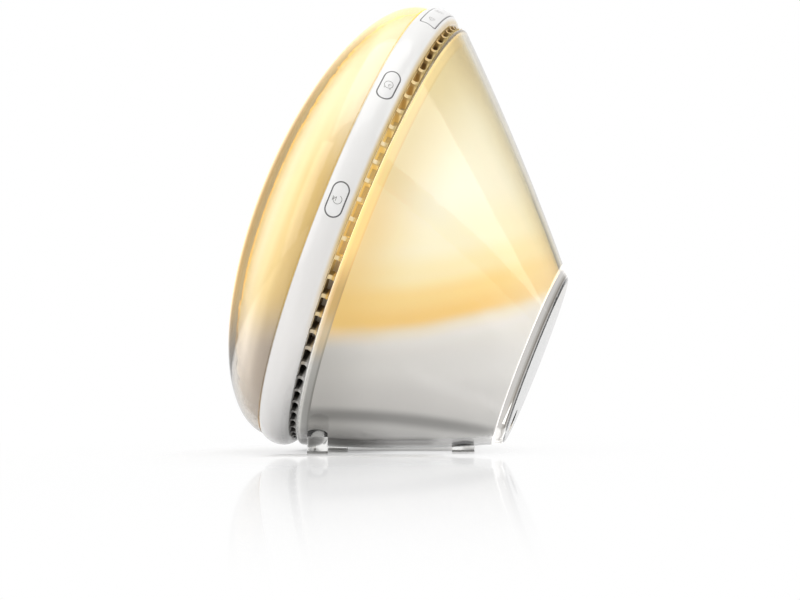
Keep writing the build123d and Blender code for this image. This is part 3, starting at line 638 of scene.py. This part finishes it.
SLAT_EDGE, SPIGOT_START, SPIGOT_END, GAP_LIGHT = (91.2, 92.8), (13.6, 14.6), (18.2, 18.9), (62, 84)
outer_edge = product(tree, shares(tree, radius, *SLAT_EDGE), shares(tree, turned_outwards(tree), 0.3, 0.7, 0.3, 1.0))
slat_colour = blend(tree, outer_edge, gap_tone, slat_tone)
spigot_tone = tones(
    tree, height, (5, (190, 189, 187)), (36, (206, 204, 200)), (48, (236, 212, 168)), (60, (238, 196, 112)),
    (84, (232, 200, 128)), (130, (214, 196, 146)),
)
# Painted shadow: a dark line at the end of the spigot, stronger low down.
spigot_end_shadow = product(tree, shares(tree, depth, *SPIGOT_END), shares(tree, height, 30, 60, 0.45, 0.12))
spigot_tone = blend(tree, spigot_end_shadow, spigot_tone, paint(90, 80, 66))
vent_colour = blend(tree, shares(tree, depth, *SPIGOT_START), slat_colour, spigot_tone)
in_gap = product(tree, shares(tree, radius, *SLAT_EDGE, 0.55, 0.12), shares(tree, height, *GAP_LIGHT))
on_spigot = shares(tree, depth, *SPIGOT_START, 0, 0.04)
light_up(tree, shader, vent_colour, calc(tree, "MAXIMUM", in_gap, on_spigot))
texture(tree, shader, 2.0, 0.004)
dress(vent_cream, "vent_frame")


# ---- Rear housing: opal liner
# A thin cone moulded in opal acrylic, which slides into the clear housing. A sloping tray divides
# it, and its colour is painted light and shade: above the tray a painted glow, amber along the tray and
# near the ring and cream higher up, and below it painted shade, darker near the ring, with a painted dark
# line low down. It also glows a little as painted light, more near the table.
TRAY_EDGE, TRAY_RIPPLE, LOW_SHADE_LINE = (50.3, 0.06, 0.0031), 4.0, (16.0, -0.1, -0.0015)
NEAR_RING, NEAR_BACK, INTO_SHADE = (16, 44), (66, 90), (-8, 2)
opal_rear, tree, shader = new_finish("opal_rear", Roughness=0.5)
to_rear = along(tree, (0, 1, 0), (0, 0, 0))
height = above_table(tree)


def bow(tree, value, start, slope, bend):
    """A curved edge: start plus slope times the value plus bend times its square."""
    straight = calc(tree, "ADD", product(tree, value, slope), start)
    return calc(tree, "ADD", straight, product(tree, value, value, bend))


ripple = product(tree, calc(tree, "SUBTRACT", cloud(tree, 40), 0.5), TRAY_RIPPLE)
over_tray = calc(tree, "SUBTRACT", calc(tree, "ADD", height, ripple), bow(tree, to_rear, *TRAY_EDGE))
depth = along(tree, BACK)
glow_tone = tones(
    tree, over_tray, (-8, (240, 234, 226)), (-3, (244, 226, 192)), (3, (250, 207, 118)), (11, (254, 220, 142)),
    (20, (254, 238, 190)), (31, (253, 247, 220)), (52, (251, 249, 236)), (80, (247, 244, 228)), (105, (240, 235, 212)),
    (130, (232, 224, 196)),
)
near_ring = shares(tree, depth, *NEAR_RING, 1.0, 0.0)
near_tone = tones(tree, height, (55, (240, 198, 106)), (84, (240, 206, 132)), (130, (222, 206, 158)))
glow_tone = blend(tree, product(tree, near_ring, 0.8), glow_tone, near_tone)
near_back = shares(tree, depth, *NEAR_BACK)
glow_tone = blend(tree, product(tree, near_back, 0.4), glow_tone, paint(252, 240, 212))
shade_tone = tones(
    tree, height, (0, (214, 212, 210)), (10, (212, 210, 208)), (24, (228, 225, 222)), (36, (240, 237, 233)),
    (56, (252, 247, 240)),
)
shade_tone = blend(tree, product(tree, near_ring, 0.5), shade_tone, paint(176, 173, 168))
# Painted shade: a dark line low down on the liner.
low_shade_line = near(tree, height, bow(tree, to_rear, *LOW_SHADE_LINE), 0.4, 4.2, 0.75)
shade_tone = blend(tree, low_shade_line, shade_tone, paint(118, 116, 114))
liner_colour = blend(tree, shares(tree, over_tray, *INTO_SHADE), shade_tone, glow_tone)
lamp_light = shares(tree, over_tray, -12, 4, 0.0, 0.14)
table_light = shares(tree, height, 4, 50, 0.3, 0.12)
light_up(tree, shader, liner_colour, calc(tree, "ADD", lamp_light, table_light))
texture(tree, shader, 1.5, 0.01)
dress(opal_rear, "rear_liner")


# ---- Rear housing: clear shell
# A thick acrylic cone with a rounded rim and a flat rear face, moulded in one piece, polished and
# pushed over the vent frame's spigot. It is clear, and its colour is painted light and shade: a painted
# glow where the liner's light runs through its wall, along its rounded side and at its front rim,
# painted dark edges lower down and a painted dark line near its foot.
FOOT_LINE_LOW, FOOT_LINE_HIGH, FOOT_LINE_REAR = (2.8, 3.3), (4.2, 4.8), (12, 20)
FRONT_RIM, SHELL_FOOT, SIDE_LIGHT = (15.9, 16.7), (45, 90), 0.8
ROUNDED_EDGE, STEEP_WALL = (0.78, 0.9), (0.1, 0.3)
clear_rear, tree, shader = new_finish("clear_rear", Roughness=0.0, IOR=1.45, Transmission_Weight=1.0)
edge = wall_along(tree)
height = above_table(tree)
upper = shares(tree, height, *SHELL_FOOT)
dim_edge = tones(
    tree, edge, (0, (255, 255, 254)), (0.55, (250, 250, 248)), (0.76, (200, 199, 197)), (1, (40, 38, 36))
)
lit_edge = tones(
    tree, edge, (0, (255, 254, 249)), (0.5, (252, 246, 228)), (0.72, (230, 214, 174)), (1, (84, 70, 46))
)
# Painted shade: a dark line near the shell's foot, and dark or lit edges by height.
foot_shade_line = product(
    tree, shares(tree, height, *FOOT_LINE_LOW), shares(tree, height, *FOOT_LINE_HIGH, 1, 0),
    shares(tree, along(tree, (0, 1, 0), (0, 0, 0)), *FOOT_LINE_REAR, 1, 0),
)
edge_light_and_shade = blend(tree, foot_shade_line, blend(tree, upper, dim_edge, lit_edge), paint(84, 82, 80))
wire(tree, edge_light_and_shade, shader.inputs["Base Color"])
depth = along(tree, BACK)
to_back = turned_to(tree, BACK)
on_side = product(tree, shares(tree, to_back, *ROUNDED_EDGE, 1, 0), shares(tree, to_back, *STEEP_WALL), SIDE_LIGHT)
wall_light = tones(
    tree, depth, (91.0, (0, 0, 0)), (91.6, (220, 217, 214)), (93.2, (218, 215, 211)), (94.0, (186, 182, 176)),
    (94.6, (138, 132, 124)), (95.2, (206, 204, 201)),
)
rim_light = blend(tree, upper, paint(140, 139, 137), paint(128, 110, 72))
at_rim = shares(tree, depth, *FRONT_RIM, 1, 0)
wire(tree, blend(tree, at_rim, wall_light, rim_light), shader.inputs["Emission Color"])
wire(tree, calc(tree, "MAXIMUM", on_side, at_rim), shader.inputs["Emission Strength"])
let_lamps_in(tree, shader)
dress(clear_rear, "rear_shell")


# ---- Feet
# Three clear plastic feet fixed under the housing. Each has a thin pad of soft clear rubber that
# grips the table.
clear_foot, tree, shader = new_finish("clear_foot", Roughness=0.05, IOR=1.45, Transmission_Weight=1.0)
wire(tree, blend(tree, cloud(tree, 4.0), paint(236, 236, 234), paint(250, 250, 248)), shader.inputs["Base Color"])
let_lamps_in(tree, shader)
dress(clear_foot, "front_right_foot", "front_left_foot", "rear_foot")
soft_pad, tree, shader = new_finish("soft_pad", Roughness=0.35, IOR=1.4, Transmission_Weight=0.6)
wire(tree, blend(tree, cloud(tree, 2.0), paint(176, 175, 172), paint(196, 195, 192)), shader.inputs["Base Color"])
texture(tree, shader, 0.8, 0.02)
dress(soft_pad, "front_right_foot_pad", "front_left_foot_pad", "rear_foot_pad")


# ---- Inside the clock
# Chassis, lamp boards, heat sink, electronics, switches, display, speaker and inlet, each of them
# fixed to the chassis, the tray or a wall, with its real material's plain finish and a fine grain.
def grained(name, dark, light, size, rough, metallic=0.0, grain=0.02):
    """A finish that wanders between two tones in lumps of a size in millimetres."""
    finish, tree, shader = new_finish(name, Roughness=rough, Metallic=metallic)
    wire(tree, blend(tree, cloud(tree, size, 4.0), paint(*dark), paint(*light)), shader.inputs["Base Color"])
    texture(tree, shader, size / 4, grain)
    return finish


switches = ["key_left", "key_right", "upper_left", "upper_right", "lower_left", "lower_right"]
dress(grained("moulded_white", (214, 210, 200), (232, 229, 220), 6, 0.55), "chassis", "light_tray", "display_standoffs")
dress(
    grained("moulded_black", (18, 18, 19), (30, 30, 31), 3, 0.5),
    "display_housing", "board_parts", "speaker_frame", "dc_inlet", *[f"{name}_switch" for name in switches],
)
dress(
    grained("green_board", (16, 74, 42), (26, 92, 54), 5, 0.35),
    "display_board", "main_board", *[f"{name}_switch_board" for name in switches],
)
dress(grained("white_board", (222, 221, 216), (234, 233, 229), 5, 0.3), "front_lamp_board", "rear_lamp_board")
dress(grained("led_phosphor", (246, 214, 96), (252, 226, 124), 1, 0.4), "front_leds", "rear_leds")
dress(grained("amber_lens", (238, 140, 44), (248, 160, 62), 2, 0.3), "display_digits")
dress(grained("cast_aluminium", (176, 178, 180), (206, 208, 210), 3, 0.35, 1.0), "heat_sink")
dress(grained("zinc_steel", (150, 151, 154), (186, 187, 189), 1, 0.3, 1.0), "board_screws", "chassis_screws", "key_pin")
dress(grained("speaker_paper", (26, 25, 24), (40, 39, 37), 0.6, 0.85, 0.0, 0.05), "speaker_cone")
dress(grained("ferrite", (44, 44, 46), (60, 60, 62), 1.5, 0.6), "speaker_magnet")
